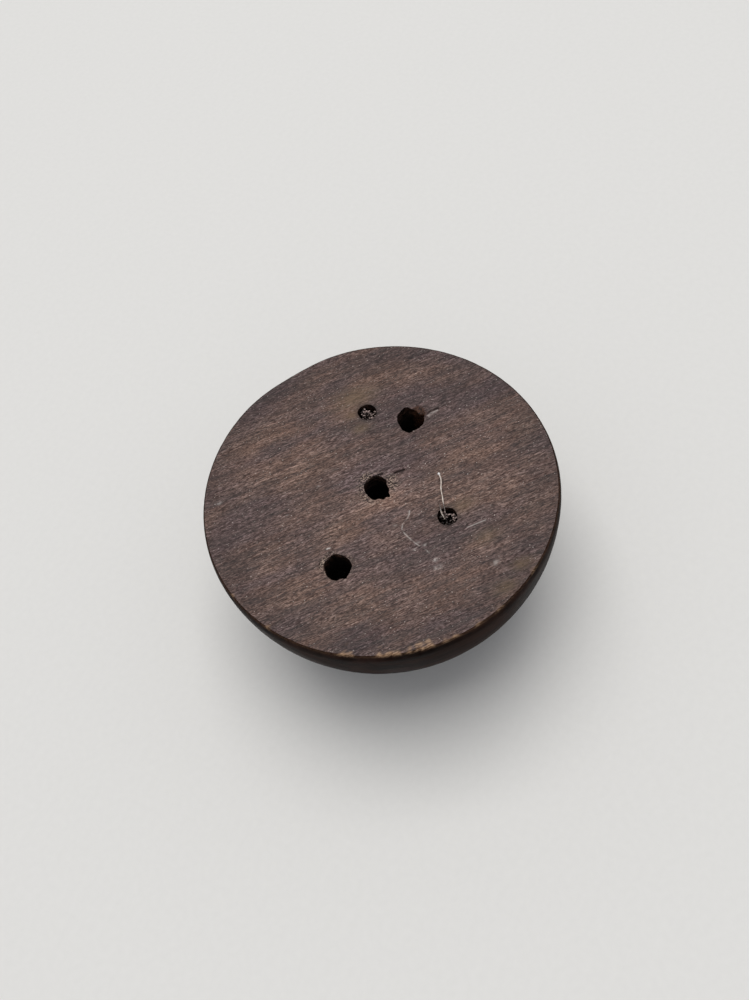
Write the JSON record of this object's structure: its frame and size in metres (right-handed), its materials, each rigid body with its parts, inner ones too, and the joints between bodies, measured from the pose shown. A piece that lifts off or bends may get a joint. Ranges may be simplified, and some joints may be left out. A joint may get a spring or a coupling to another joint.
{
  "type": "sew-on button",
  "caption": "Large half-ball sew-on button of dark-stained turned wood, with a row of through sew holes and the broken stumps of a glued-in cord in its flat back.",
  "frame": {"origin": "middle of the small flat on the crown of the dome, on the axis the button was turned about; the lowest point of the part", "axes": "+Z from the domed front to the flat back face, which is on top; X along the row of three sew holes"},
  "size_m": [0.038, 0.038, 0.0197],
  "materials": {
    "stained_wood": "worn dark stain, satin on the dome and dull on the sawn back",
    "cord": "waxed black twisted cord",
    "filament": "pale glossy filament",
    "glue": "hardened amber glue"
  },
  "bodies": {
    "root": {"button_body": "stained_wood", "upper_glue_bed": "glue", "side_glue_bed": "glue", "upper_cord_ply_1": "cord", "upper_cord_ply_2": "cord", "upper_cord_ply_3": "cord", "side_cord_ply_1": "cord", "side_cord_ply_2": "cord", "side_cord_ply_3": "cord", "long_filament": "filament", "short_filament": "filament"}
  },
  "joints": []
}
